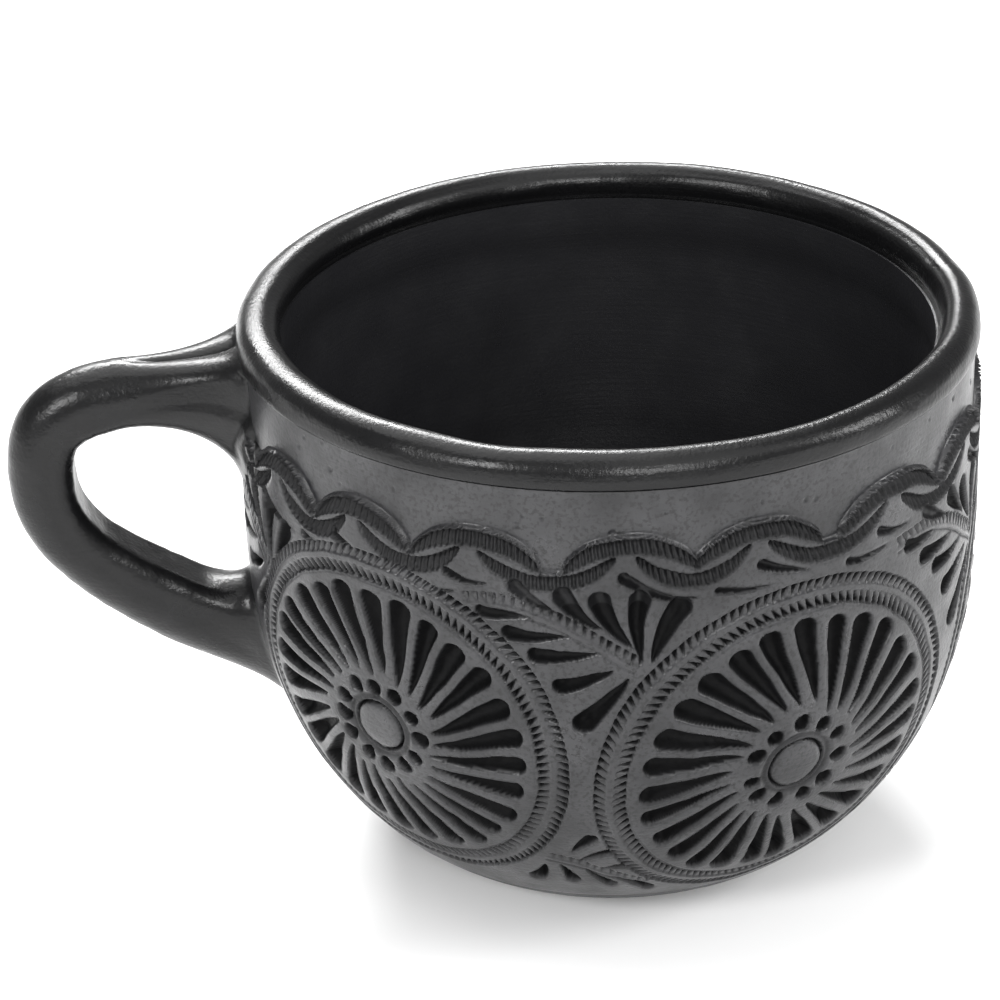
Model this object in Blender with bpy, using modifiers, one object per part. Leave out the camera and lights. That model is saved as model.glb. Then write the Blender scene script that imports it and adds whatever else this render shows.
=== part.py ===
"""A barro negro mug: a wide black clay cup with one looped handle.

The cup is put together the way a potter builds it before the firing: a flat pat of clay for the
base, a wall raised on it, a thick coil laid round the top for the rim, a rolled coil bent into
the handle, and a wad of joining clay worked in at each end of the handle.

Frame: metres, +Z up, origin at the centre of the underside on the cup's axis, handle towards -X.
"""

import math

import bmesh
import bpy
from mathutils import Vector

# ---------------------------------------------------------------- driving dimensions, in metres
RIM_HEIGHT = 0.0796            # table to the crest of the rim
RIM_RADIUS = 0.0500            # outermost line of the rim
RIM_WIDTH = 0.0056             # across the rim coil
RIM_CREST = 0.0030             # rounded crest above the rim coil's middle
RIM_SEAT_DROP = 0.0043         # crest of the rim down to its seat on the wall

NECK_RADIUS = 0.0492           # burnished band under the rim
BELLY_TOP_DROP = 0.0130        # crest of the rim down to the top of the belly
SHOULDER_LENGTH = 0.0060       # height over which the belly then draws in to the neck
BELLY_RADIUS = 0.0503          # widest part of the wall
BELLY_HEIGHT = 0.0455          # where the foot curve reaches the belly
BASE_RADIUS = 0.0222           # flat underside
WALL_THICKNESS = 0.0052
BASE_THICKNESS = 0.0060        # the pat that the wall stands on

HANDLE_DIAMETER = 0.0095
HANDLE_REACH = 0.0276          # wall to the middle of the handle at its furthest
HANDLE_TOP_DROP = 0.0091       # crest of the rim down to the middle of the upper join
HANDLE_FOOT_HEIGHT = 0.0276    # table up to the middle of the lower join
HANDLE_BEND_DROP = 0.0131      # upper join down to the furthest point of the bend
TOP_RISE = -3.0                # degrees above level at which the handle leaves the rim side ...
FOOT_RISE = 37.0               # ... and the foot side
TOP_PULL = 0.0230              # how far the handle runs straight out of each join ...
FOOT_PULL = 0.0205
BEND_PULL_UP = 0.0100          # ... and how long it stays upright above and below the bend
BEND_PULL_DOWN = 0.0125

UPPER_JOIN_LENGTH = 0.0056     # joining clay between wall and handle, along its shortest side
LOWER_JOIN_LENGTH = 0.0026
UPPER_FLARE = 0.0034           # how far each join spreads past the handle where it meets the wall
LOWER_FLARE = 0.0012
JOIN_ROOT = 0.0030             # how far a join's blank runs on inside the wall line before the trim

GAP = 0.0003                   # clearance between two touching pieces

# ---------------------------------------------------------------- how finely pieces are divided
TURN_STEPS = 64
FOOT_CURVE_STEPS = 9
SHOULDER_STEPS = 3
RIM_ARC_STEPS = 12
ROUND_SECTION = 2              # extra divisions of a quarter of the handle's round section
HANDLE_DIVISIONS = 12
FLARE_STEPS = 4

WELD = 0.00001                 # points closer than this are one point

FOOT_CURVE_POWER = 0.6         # below 1 the foot tucks in quickly under a full belly

BURNISHED = (0.020, 0.020, 0.021)
SMOKED = (0.014, 0.014, 0.014)


# ---------------------------------------------------------------- derived sizes
RIM_SEAT = RIM_HEIGHT - RIM_SEAT_DROP
RIM_MIDDLE = RIM_HEIGHT - RIM_CREST
RIM_CENTRE_RADIUS = RIM_RADIUS - RIM_WIDTH / 2
BELLY_TOP = RIM_HEIGHT - BELLY_TOP_DROP
HANDLE_TOP_HEIGHT = RIM_HEIGHT - HANDLE_TOP_DROP


def outer_radius(height):
    """Radius of the cup's outer face: foot curve, belly, shoulder and neck."""
    if height <= BELLY_HEIGHT:
        rise = 1.0 - max(height, 0.0) / BELLY_HEIGHT
        return BASE_RADIUS + (BELLY_RADIUS - BASE_RADIUS) * (1.0 - rise * rise) ** FOOT_CURVE_POWER
    share = min(max((height - BELLY_TOP) / SHOULDER_LENGTH, 0.0), 1.0)
    smooth = share * share * (3.0 - 2.0 * share)
    return BELLY_RADIUS + (NECK_RADIUS - BELLY_RADIUS) * smooth


def slope(height, span=0.001):
    """How fast the outer face widens with height, over a stretch of it."""
    return (outer_radius(height + span / 2) - outer_radius(height - span / 2)) / span


def offset_radius(height, out):
    """Radius of a face that lies so far outside the outer face, measured square to it."""
    return outer_radius(height) + out * math.hypot(1.0, slope(height))


def steps(low, high, count):
    """Evenly spaced values from low to high, both included."""
    return [low + (high - low) * i / count for i in range(count + 1)]


def wall_heights(low):
    """Heights from low up to the rim's seat, closer together where the outline turns."""
    foot = [BELLY_HEIGHT * (1.0 - math.cos(a)) for a in steps(0.0, math.pi / 2, FOOT_CURVE_STEPS)]
    shoulder = steps(BELLY_TOP, BELLY_TOP + SHOULDER_LENGTH, SHOULDER_STEPS)
    between = [h for h in foot + shoulder if low + GAP < h < RIM_SEAT - GAP - GAP]
    return [low] + sorted(between) + [RIM_SEAT - GAP]


# ---------------------------------------------------------------- small helpers
def empty_scene():
    """Clears the scene, so that a second run starts as the first one did."""
    for old in list(bpy.data.objects):
        bpy.data.objects.remove(old, do_unlink=True)
    for old in list(bpy.data.collections):
        bpy.data.collections.remove(old)


def new_collection(name):
    """Makes a collection under the scene."""
    made = bpy.data.collections.new(name)
    bpy.context.scene.collection.children.link(made)
    return made


def clay(name, colour, roughness):
    """A Principled material for one piece of clay."""
    made = bpy.data.materials.new(name)
    made.use_nodes = True
    shader = made.node_tree.nodes["Principled BSDF"]
    shader.inputs["Base Color"].default_value = (*colour, 1.0)
    shader.inputs["Roughness"].default_value = roughness
    shader.inputs["Metallic"].default_value = 0.0
    return made


def turned(name, outline, count, collection):
    """Turns an outline of (radius, height) pairs, given top to bottom on its outer side, about Z."""
    mesh = bpy.data.meshes.new(name)
    mesh.from_pydata([(r, 0.0, z) for r, z in outline], [(i, i + 1) for i in range(len(outline) - 1)], [])
    made = bpy.data.objects.new(name, mesh)
    collection.objects.link(made)
    screw = made.modifiers.new("turn", "SCREW")
    screw.axis = "Z"
    screw.steps = count
    screw.render_steps = count
    screw.use_merge_vertices = True
    screw.merge_threshold = WELD
    return made


def make_mesh(made):
    """Replaces an object by the mesh that its modifiers or its curve give, with doubles welded."""
    graph = bpy.context.evaluated_depsgraph_get()
    mesh = bpy.data.meshes.new_from_object(made.evaluated_get(graph))
    shape = bmesh.new()
    shape.from_mesh(mesh)
    bmesh.ops.remove_doubles(shape, verts=shape.verts, dist=WELD)
    shape.to_mesh(mesh)
    shape.free()
    name, place, home = made.name, made.matrix_world.copy(), made.users_collection[0]
    bpy.data.objects.remove(made, do_unlink=True)
    mesh.name = name
    copy = bpy.data.objects.new(name, mesh)
    copy.matrix_world = place
    home.objects.link(copy)
    return copy


def finish(made, material):
    """Gives a piece its material and smooth round faces."""
    made.data.materials.clear()
    made.data.materials.append(material)
    if made.type == "MESH":
        made.data.shade_smooth()
    return made


# ---------------------------------------------------------------- pieces
def base_pad(collection):
    """The pat of clay: flat underside, rounded edge, flat top that the wall stands on."""
    heights = [BASE_THICKNESS * (1.0 - math.cos(a)) for a in steps(0.0, math.pi / 2, 4)]
    edge = [(outer_radius(h), h) for h in reversed(heights)]
    outline = [(0.0, BASE_THICKNESS)] + edge + [(0.0, 0.0)]
    made = turned("base_pad", outline, TURN_STEPS, collection)
    return finish(made, clay("base_clay", SMOKED, 0.6))


def cup_wall(collection):
    """The raised wall, a ring that is open at the top and at the base."""
    heights = wall_heights(BASE_THICKNESS + GAP)
    outside = [(outer_radius(h), h) for h in reversed(heights)]
    inside = [(offset_radius(h, -WALL_THICKNESS), h) for h in heights]
    made = turned("cup_wall", outside + inside + outside[:1], TURN_STEPS, collection)
    return finish(made, clay("wall_clay", BURNISHED, 0.45))


def rim_point(angle):
    """A point of the rim coil's oval, with angle 0 at its outermost line and 90 degrees at the crest."""
    return (RIM_CENTRE_RADIUS + RIM_WIDTH / 2 * math.cos(angle), RIM_MIDDLE + RIM_CREST * math.sin(angle))


def rim_coil(collection):
    """The coil laid on the wall's top edge, flattened where it sits."""
    seat_angle = math.asin((RIM_MIDDLE - RIM_SEAT) / RIM_CREST)
    arc = [rim_point(a) for a in steps(math.pi + seat_angle, -seat_angle, RIM_ARC_STEPS)]
    made = turned("rim_coil", arc + arc[:1], TURN_STEPS, collection)
    return finish(made, clay("rim_clay", BURNISHED, 0.3))


def clay_coil(name, knots, divisions, collection):
    """A round coil of the handle's diameter through (place, before, after, swell) knots, as a mesh."""
    curve = bpy.data.curves.new(name, "CURVE")
    curve.dimensions = "3D"
    curve.bevel_depth = HANDLE_DIAMETER / 2
    curve.bevel_resolution = ROUND_SECTION
    curve.use_fill_caps = True
    curve.resolution_u = divisions
    spline = curve.splines.new("BEZIER")
    spline.bezier_points.add(len(knots) - 1)
    for point, (place, before, after, swell) in zip(spline.bezier_points, knots):
        point.handle_left_type = "FREE"
        point.handle_right_type = "FREE"
        point.co = place
        point.handle_left = before
        point.handle_right = after
        point.radius = swell
    made = bpy.data.objects.new(name, curve)
    collection.objects.link(made)
    return make_mesh(made)


class Join:
    """Where one end of the handle meets the wall, and how far the joining clay reaches."""

    def __init__(self, height, degrees, length, flare):
        tilt = math.radians(degrees)
        wall_lean = math.atan(slope(height, HANDLE_DIAMETER))
        self.middle = Vector((-outer_radius(height), 0.0, height))
        self.outward = Vector((-math.cos(tilt), 0.0, math.sin(tilt)))
        self.swell = 1.0 + 2.0 * flare / HANDLE_DIAMETER
        # The coil meets the wall at a slant, so one side of it reaches the wall before the other.
        slant = 1.0 / math.tan(math.pi / 2 - abs(tilt + wall_lean))
        self.end = self.middle + self.outward * (length + HANDLE_DIAMETER / 2 * slant)
        self.root = self.middle - self.outward * (JOIN_ROOT + HANDLE_DIAMETER / 2 * self.swell * slant)


UPPER_JOIN = Join(HANDLE_TOP_HEIGHT, TOP_RISE, UPPER_JOIN_LENGTH, UPPER_FLARE)
LOWER_JOIN = Join(HANDLE_FOOT_HEIGHT, FOOT_RISE, LOWER_JOIN_LENGTH, LOWER_FLARE)


def handle(collection):
    """The rolled coil, bent out from under the rim, round and back in above the foot."""
    upper, lower = UPPER_JOIN, LOWER_JOIN
    bend = upper.middle - Vector((HANDLE_REACH, 0.0, HANDLE_BEND_DROP))
    above = bend + Vector((0.0, 0.0, BEND_PULL_UP))
    below = bend - Vector((0.0, 0.0, BEND_PULL_DOWN))
    knots = (
        (upper.end, upper.middle, upper.middle + upper.outward * TOP_PULL, 1.0),
        (bend, above, below, 1.0),
        (lower.end, lower.middle + lower.outward * FOOT_PULL, lower.middle, 1.0),
    )
    made = clay_coil("handle", knots, HANDLE_DIVISIONS, collection)
    return finish(made, clay("handle_clay", BURNISHED, 0.3))


def cup_envelope(cutters):
    """The cup's outer shape grown by the gap, used to trim the joins where they meet it."""
    neck = [(offset_radius(h, GAP), h) for h in reversed(wall_heights(0.0))]
    seat_angle = math.asin((RIM_MIDDLE - RIM_SEAT) / RIM_CREST)
    rim = [rim_point(a) for a in steps(math.pi / 2, -seat_angle, RIM_ARC_STEPS)]
    grown = [(r + GAP, z + GAP * (z - RIM_MIDDLE) / RIM_CREST) for r, z in rim]
    outline = [(0.0, grown[0][1])] + grown + neck + [(0.0, 0.0)]
    made = turned("cup_envelope", outline, TURN_STEPS, cutters)
    made.hide_render = True
    made.display_type = "WIRE"
    return made


def join_clay(name, join, envelope, collection):
    """A wad of clay that carries on from one end of the handle and spreads out onto the wall."""
    start = join.end - join.outward * GAP
    places = []
    for a in steps(0.0, math.pi / 2, FLARE_STEPS):
        spread = 1.0 - math.sqrt(math.cos(a))
        places.append((start.lerp(join.middle, 1.0 - math.cos(a)), 1.0 + (join.swell - 1.0) * spread))
    places.append((join.root, join.swell))
    knots = [(place, place + join.outward * GAP, place - join.outward * GAP, s) for place, s in places]
    blank = clay_coil(name, knots, 1, collection)
    cut = blank.modifiers.new("trim_to_cup", "BOOLEAN")
    cut.operation = "DIFFERENCE"
    cut.solver = "EXACT"
    cut.object = envelope
    return finish(blank, clay(name + "_finish", BURNISHED, 0.35))


def main():
    """Builds the mug."""
    empty_scene()
    mug = new_collection("barro_negro_mug")
    cutters = new_collection("cutters")
    base_pad(mug)
    cup_wall(mug)
    rim_coil(mug)
    handle(mug)
    envelope = cup_envelope(cutters)
    join_clay("upper_join_clay", UPPER_JOIN, envelope, mug)
    join_clay("lower_join_clay", LOWER_JOIN, envelope, mug)


main()
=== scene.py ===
"""Looks of a barro negro mug: hand-carved, burnished and smoke-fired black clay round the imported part.

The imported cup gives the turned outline, the rim, the handle and the places of its two joins. Over it
go a wall carved with sunburst medallions, leaf sprays and a wave border, a hand-rolled rim, a smoked
base, and a burnished handle whose joining clay is smeared out onto the cup. The wall is one piece of
clay. It is made here as equal upright panels that share their edges, so that each mesh stays small
enough for cuts a fifth of a millimetre apart.

Frame: metres, +Z up, origin at the centre of the underside, handle towards -X. The carving is laid
out in millimetres on the unrolled wall: x runs round the belly, rightwards as seen from outside,
from the FRONT line, and y is the distance along the outline, upwards from NECK_LINE. Sizes are in
millimetres and depths are measured inwards unless a comment says otherwise.
"""

import logging
import math
from dataclasses import dataclass
from enum import Enum
from functools import partial
from typing import Sequence

import bmesh
import bpy
import numpy as np
from mathutils import Matrix, Vector


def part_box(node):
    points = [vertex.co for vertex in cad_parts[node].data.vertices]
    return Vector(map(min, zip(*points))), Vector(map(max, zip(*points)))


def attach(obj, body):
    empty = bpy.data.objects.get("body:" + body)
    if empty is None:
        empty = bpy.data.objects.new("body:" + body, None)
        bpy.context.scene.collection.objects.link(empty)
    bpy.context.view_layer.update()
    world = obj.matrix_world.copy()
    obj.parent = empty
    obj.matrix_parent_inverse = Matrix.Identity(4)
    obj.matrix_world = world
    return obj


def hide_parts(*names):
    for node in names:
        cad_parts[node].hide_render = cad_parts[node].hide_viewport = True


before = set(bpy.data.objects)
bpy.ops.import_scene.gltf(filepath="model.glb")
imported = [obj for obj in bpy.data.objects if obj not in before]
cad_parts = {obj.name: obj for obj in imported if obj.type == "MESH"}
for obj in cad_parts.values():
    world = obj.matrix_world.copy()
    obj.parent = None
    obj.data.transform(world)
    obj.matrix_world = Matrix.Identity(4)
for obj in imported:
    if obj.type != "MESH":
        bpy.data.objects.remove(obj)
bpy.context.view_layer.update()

log = logging.getLogger("mug")

MM = 0.001
FULL_TURN = 2.0 * math.pi
BODY = "root"
FRONT = math.radians(-95.0)     # azimuth of the carving's x = 0
NECK_LINE = 70.0                # height of the carving's y = 0
BAKE_MAP = "OFBake"
CUT_AND_SHADE_NAME = "cut"                # how far a point lies inside a cut, 0 on burnished land to 1; it dulls the clay and darkens it as painted shade
INSIDE_SHADE_NAME = "inside_shade"              # 1 on the inside of the wall, which takes a painted shade, 0 outside
OUTSIDE = -9.0                  # distance inside a cut's outline, where no cut is near

Array = np.ndarray
Cut = tuple[Array, Array]       # distance inside the outline, and depth
Point = tuple[float, float]
Material = bpy.types.Material
Mesh = bpy.types.Mesh
Piece = bpy.types.Object


# ---------------------------------------------------------------- numbers shared by the carving
def smooth(share: Array) -> Array:
    """Eases values of any range from 0 to 1, with a level start and end."""
    held = np.clip(share, 0.0, 1.0)
    return held * held * (3.0 - 2.0 * held)


def draws(seed: int, *shape: int) -> Array:
    """Repeatable random numbers from -1 to 1, as an array of the given shape."""
    return np.random.default_rng(seed).uniform(-1.0, 1.0, shape)


def unevenness(x: Array, y: Array, size: float, seed: int, around: float | None = None) -> Array:
    """Soft random unevenness, as a hand leaves it, from a lattice of random heights.

    Args:
        x: places round the wall.
        y: places up the wall.
        size: distance between lattice points.
        seed: picks the lattice.
        around: length after which x closes on itself, if it does.

    Returns:
        Values from -1 to 1.
    """
    cells = 256 if around is None else max(3, round(around / size))
    step = size if around is None else around / cells
    table = draws(seed, cells, 256)
    gx, gy = x / step, y / size
    ix, iy = np.floor(gx).astype(int), np.floor(gy).astype(int)
    fx, fy = smooth(gx - ix), smooth(gy - iy)
    x0, x1, y0, y1 = ix % cells, (ix + 1) % cells, iy % 256, (iy + 1) % 256
    low = table[x0, y0] * (1.0 - fx) + table[x1, y0] * fx
    high = table[x0, y1] * (1.0 - fx) + table[x1, y1] * fx
    return low * (1.0 - fy) + high * fy


def deepest(first: Cut, second: Cut) -> Cut:
    """Joins two cuts: a point lies in whichever reaches further."""
    return np.maximum(first[0], second[0]), np.maximum(first[1], second[1])


def lift(whole: Array, near: Array, part: Array) -> None:
    """Raises some of an array's values to at least those of a part."""
    whole[near] = np.maximum(whole[near], part)


def rightwards(x: Array, place: float, around: float) -> Array:
    """Distance to the right of a place, the short way round the wall."""
    return (x - place + around / 2) % around - around / 2


def lengths(points: Array) -> Array:
    """Distance along a line of points, at each of them."""
    return np.concatenate([[0.0], np.cumsum(np.hypot(*np.diff(points, axis=0).T))])


def rounded(points: Sequence[Point], steps: int) -> Array:
    """A smooth line through points.

    Args:
        points: what the line passes through.
        steps: divisions of each stretch.

    Returns:
        Rows of x and y.
    """
    p = np.array(points, float)
    p = np.vstack([2 * p[0] - p[1], p, 2 * p[-1] - p[-2]])
    made = []
    for a, b, c, d in zip(p, p[1:], p[2:], p[3:]):
        for t in np.arange(steps) / steps:
            made.append(0.5 * (2 * b + (c - a) * t + (2 * a - 5 * b + 4 * c - d) * t**2
                               + (3 * b - a - 3 * c + d) * t**3))
    made.append(p[-2])
    return np.array(made)


def polar(places: Array) -> tuple[Array, Array]:
    """Azimuth and radius of places about the cup's axis."""
    return np.arctan2(places[:, 1], places[:, 0]), np.hypot(places[:, 0], places[:, 1])


def upright(angle: Array, radius: Array, height: Array) -> Array:
    """Places from their azimuth, radius and height."""
    return np.column_stack([radius * np.cos(angle), radius * np.sin(angle), height])


# ---------------------------------------------------------------- the cup's form
class CupForm:
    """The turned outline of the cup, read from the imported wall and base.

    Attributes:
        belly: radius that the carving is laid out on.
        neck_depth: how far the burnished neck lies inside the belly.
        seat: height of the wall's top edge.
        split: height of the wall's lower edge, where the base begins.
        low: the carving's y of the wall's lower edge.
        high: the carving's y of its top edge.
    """

    STEP = 0.05                  # fineness of the outline's table

    def __init__(self) -> None:
        """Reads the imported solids."""
        base, wall = self._outline("base_pad"), self._outline("cup_wall")
        self.split, self.seat = min(wall), max(wall)
        outer = {z: r[1] for z, r in (*base.items(), *wall.items())}
        self.belly = max(outer.values())
        self.neck_depth = self.belly - outer[self.seat]
        self._outer = self._even([(outer[z], z) for z in sorted(outer)])
        self._inner = np.array([(wall[z][0], z) for z in sorted(wall)])
        self._zero = float(np.interp(NECK_LINE, self._outer[:, 2], self._outer[:, 0]))
        self.low, self.high = self.y_at(self.split), self.y_at(self.seat)

    @staticmethod
    def _outline(node: str) -> dict[float, Point]:
        """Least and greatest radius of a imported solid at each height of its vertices."""
        found: dict[float, Point] = {}
        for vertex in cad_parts[node].data.vertices:
            radius, height = math.hypot(vertex.co.x, vertex.co.y) / MM, round(vertex.co.z / MM, 2)
            low, high = found.get(height, (radius, radius))
            found[height] = (min(low, radius), max(high, radius))
        return found

    def _even(self, points: Sequence[Point]) -> Array:
        """Smooths an outline of (radius, height) points into rows of (arc, radius, height)."""
        corner = np.array(points)
        run = lengths(corner)
        fine = np.arange(0.0, run[-1], self.STEP)
        slopes = [np.gradient(corner[:, i], run) for i in (0, 1)]
        at = np.clip(np.searchsorted(run, fine, side="right") - 1, 0, len(run) - 2)
        span = run[at + 1] - run[at]
        t = (fine - run[at]) / span
        columns = []
        for i in (0, 1):
            a, b, da, db = corner[at, i], corner[at + 1, i], slopes[i][at], slopes[i][at + 1]
            columns.append((2 * t**3 - 3 * t**2 + 1) * a + (t**3 - 2 * t**2 + t) * span * da
                           + (3 * t**2 - 2 * t**3) * b + (t**3 - t**2) * span * db)
        return np.column_stack([fine, np.minimum(columns[0], self.belly), columns[1]])

    def body(self, y: Array) -> tuple[Array, Array, Array, Array]:
        """The belly's uncut face, carried straight up past the neck.

        Args:
            y: places along the outline, in the carving's y.

        Returns:
            Radius, height, and the outward normal's radial and upward parts.
        """
        arc = y + self._zero
        place, radii, levels = self._outer.T
        above = arc > place[np.argmax(radii)]
        dr, dz = np.gradient(radii), np.gradient(levels)
        out = np.interp(arc, place, dz / np.hypot(dr, dz))
        up = np.interp(arc, place, -dr / np.hypot(dr, dz))
        return (np.where(above, self.belly, np.interp(arc, place, radii)), np.interp(arc, place, levels),
                np.where(above, 1.0, out), np.where(above, 0.0, up))

    def y_at(self, height: float) -> float:
        """Where a height lies along the outline, in the carving's y."""
        return float(np.interp(height, self._outer[:, 2], self._outer[:, 0])) - self._zero

    def inner(self, heights: Array) -> Array:
        """Radius of the cup's inner face at heights."""
        return np.interp(heights, self._inner[:, 1], self._inner[:, 0])

    def hand(self, angle: Array, height: Array) -> Array:
        """How far the hand-built cup strays inwards from a true turned one."""
        return (0.26 - 0.13 * np.cos(2 * angle + 0.6) - 0.07 * np.cos(3 * angle + 2.1)
                - 0.05 * np.sin(height / 9.0 + 2 * angle))


# ---------------------------------------------------------------- the motifs
@dataclass(frozen=True)
class Stroke:
    """One gouge cut: it starts as a point, widens and deepens, and ends in a steep round head."""

    head: Point                  # centre of the round head, from the motif's middle
    tail: Point                  # where the tool went in
    half: float                  # half the width at the head
    depth: float                 # greatest depth
    bend: float = 0.0            # how far the middle bows to the left of the line from tail to head

    def cut(self, x: Array, y: Array) -> Cut:
        """Evaluates the stroke at distances right of and above the motif's middle."""
        along = np.subtract(self.head, self.tail)
        length = float(np.hypot(*along))
        along = along / length
        t = ((x - self.tail[0]) * along[0] + (y - self.tail[1]) * along[1]) / length
        side = (y - self.tail[1]) * along[0] - (x - self.tail[0]) * along[1]
        held = np.clip(t, 0.0, 1.0)
        side = side - self.bend * 4.0 * held * (1.0 - held)
        past = np.maximum(t - 1.0, 0.0) * length
        half = np.maximum(self.half * held ** 0.6, 0.02)
        inside = np.where(t > 1.0, self.half - np.hypot(past, side), half - np.abs(side))
        inside = np.where(t < 0.0, -np.hypot(t * length, side), inside)
        across = np.where(t > 1.0, np.hypot(past, side) / self.half, np.abs(side) / half)
        floor = 1.0 - np.clip(across, 0.0, 1.0) ** 2.6
        depth = self.depth * (0.2 + 0.8 * held ** 0.65) * floor
        return inside, np.where(inside > 0.0, depth, 0.0)


@dataclass(frozen=True)
class Rope:
    """A narrow sunk band nicked all along with a pointed tool."""

    half: float = 0.95           # half the band's width
    pitch: float = 1.25          # distance from nick to nick
    slant: float = 0.35          # how far a nick leans along the band as it crosses it, in pitches
    outward: float = 1.0         # +1 where the nicks are wide on the band's outer edge, -1 inner
    sunk: float = 0.18           # depth of the band itself
    nick: float = 0.85           # depth of a nick

    def depth(self, along: Array, across: Array, seed: int) -> Array:
        """Depth of the band.

        Args:
            along: distance along the band, in pitches.
            across: distance from its middle, outwards.
            seed: picks the nicks' own irregularity.

        Returns:
            The depths.
        """
        y = across / self.half
        phase = along + self.slant * y
        index = np.floor(phase).astype(int)
        jitter = draws(seed, 2, 512)
        phase = phase - index - 0.5 + 0.07 * jitter[0, index % 512]
        wide = 0.5 * (1.0 + self.outward * y)
        room = (0.06 + 0.40 * wide) - np.abs(phase)
        nick = np.clip(room / 0.30, 0.0, 1.0) * self.nick * (1.0 + 0.18 * jitter[1, index % 512])
        return smooth((1.0 - np.abs(y)) / 0.18) * (self.sunk + nick)


@dataclass(frozen=True)
class Medallion:
    """A sunburst: a button, a ring of punched holes, leaning rays, and two rope rings round them."""

    REACH = 28.3                 # radius of a round medallion, whose scale the sizes below are on

    x: float                     # its middle
    y: float
    up: float                    # reach above the middle, below it and to each side
    down: float
    aside: float
    holes: int                   # how many punched holes ring the button
    seed: int                    # picks its hand irregularities
    rays: int = 27
    ray_out: float = 22.9
    ray_in: float = 9.4
    ray_half: float = 1.80
    ray_depth: float = 2.3
    lean: float = math.radians(12.0)
    hole_ring: float = 6.75
    hole_half: float = 1.27
    hole_depth: float = 1.9
    button: float = 4.0
    dish_ring: float = 4.9       # the dished ring between the button and the holes
    line_ring: float = 23.7      # the fine line inside the ropes
    inner_rope: Rope = Rope(outward=-1.0)
    outer_rope: Rope = Rope(half=0.85, slant=-0.35)
    inner_rope_ring: float = 24.85
    outer_rope_ring: float = 27.45

    def polar(self, du: Array, dv: Array) -> tuple[Array, Array]:
        """Distance from the middle, on the round medallion's scale, and angle clockwise from up."""
        tall = np.where(dv > 0.0, self.up, self.down) / self.REACH
        wide = self.aside / self.REACH
        return np.hypot(du / wide, dv / tall), np.arctan2(du / wide, dv / tall)

    def cut(self, du: Array, dv: Array) -> Cut:
        """Evaluates everything cut inside the outer rope, right of and above the middle."""
        reach, angle = self.polar(du, dv)
        found = deepest(self._rays(reach, angle), self._holes(reach, angle))
        found = deepest(found, self._button(reach))
        return found[0], np.maximum(found[1], self._ropes(reach, angle))

    def _rays(self, reach: Array, angle: Array) -> Cut:
        """The rays, which lean more and more towards the middle."""
        draw = draws(self.seed, 4, self.rays)
        pitch = FULL_TURN / self.rays
        inwards = np.clip((self.ray_out - reach) / (self.ray_out - self.ray_in), 0.0, 1.4)
        turned = angle - self.lean * inwards ** 1.9
        index = np.round(turned / pitch).astype(int)
        own = index % self.rays
        side = (turned - (index + 0.06 * draw[0, own]) * pitch) * reach
        half = self.ray_half * (1.0 + 0.10 * draw[1, own])
        top = self.ray_out + 0.45 * draw[2, own] - half
        low = self.ray_in + 0.9 * draw[3, own]
        t = np.clip((reach - low) / (top - low), 0.0, 1.0)
        width = np.maximum(half * (0.10 + 0.90 * t ** 0.68), 0.02)
        past = np.hypot(np.maximum(reach - top, 0.0) * 1.25, side)
        inside = np.where(reach > top, half - past, np.minimum(width - np.abs(side), reach - low))
        across = np.where(reach > top, past / half, np.abs(side) / width)
        floor = 1.0 - np.clip(across, 0.0, 1.0) ** 2.8
        depth = self.ray_depth * (0.22 + 0.78 * t ** 0.65) * floor
        return inside, np.where(inside > 0.0, depth, 0.0)

    def _holes(self, reach: Array, angle: Array) -> Cut:
        """The punched holes round the button, each pushed in at a slant."""
        draw = draws(self.seed + 1, 3, self.holes)
        pitch = FULL_TURN / self.holes
        index = np.round(angle / pitch).astype(int)
        own = index % self.holes
        side = (angle - (index + 0.10 * draw[0, own]) * pitch) * self.hole_ring
        out = (reach - self.hole_ring - 0.25 * draw[1, own]) / 1.12
        half = self.hole_half * (1.0 + 0.10 * draw[2, own])
        far = np.hypot(side, out)
        depth = self.hole_depth * (1.0 - np.clip(far / half, 0.0, 1.0) ** 2.4)
        return half - far, np.where(far < half, depth, 0.0)

    def _button(self, reach: Array) -> Cut:
        """The button's dark groove and the dished ring outside it."""
        inside = 0.36 - np.abs(reach - self.button)
        groove = 1.05 * np.clip(inside / 0.30, 0.0, 1.0)
        crown = 0.30 * np.clip(reach / self.button, 0.0, 1.0) ** 5 * (reach < self.button)
        dish = 0.42 * smooth(1.0 - np.abs(reach - self.dish_ring) / 0.95)
        return inside, np.maximum(np.maximum(groove, dish), crown)

    def _ropes(self, reach: Array, angle: Array) -> Array:
        """Depth of the two rope rings and the fine line inside them."""
        depth = 0.16 * np.clip(1.0 - np.abs(reach - self.line_ring) / 0.22, 0.0, 1.0)
        for ring, rope, seed in ((self.inner_rope_ring, self.inner_rope, self.seed + 2),
                                 (self.outer_rope_ring, self.outer_rope, self.seed + 3)):
            along = (angle / FULL_TURN % 1.0) * round(FULL_TURN * ring / rope.pitch)
            depth = np.maximum(depth, rope.depth(along, reach - ring, seed))
        return depth


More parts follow.
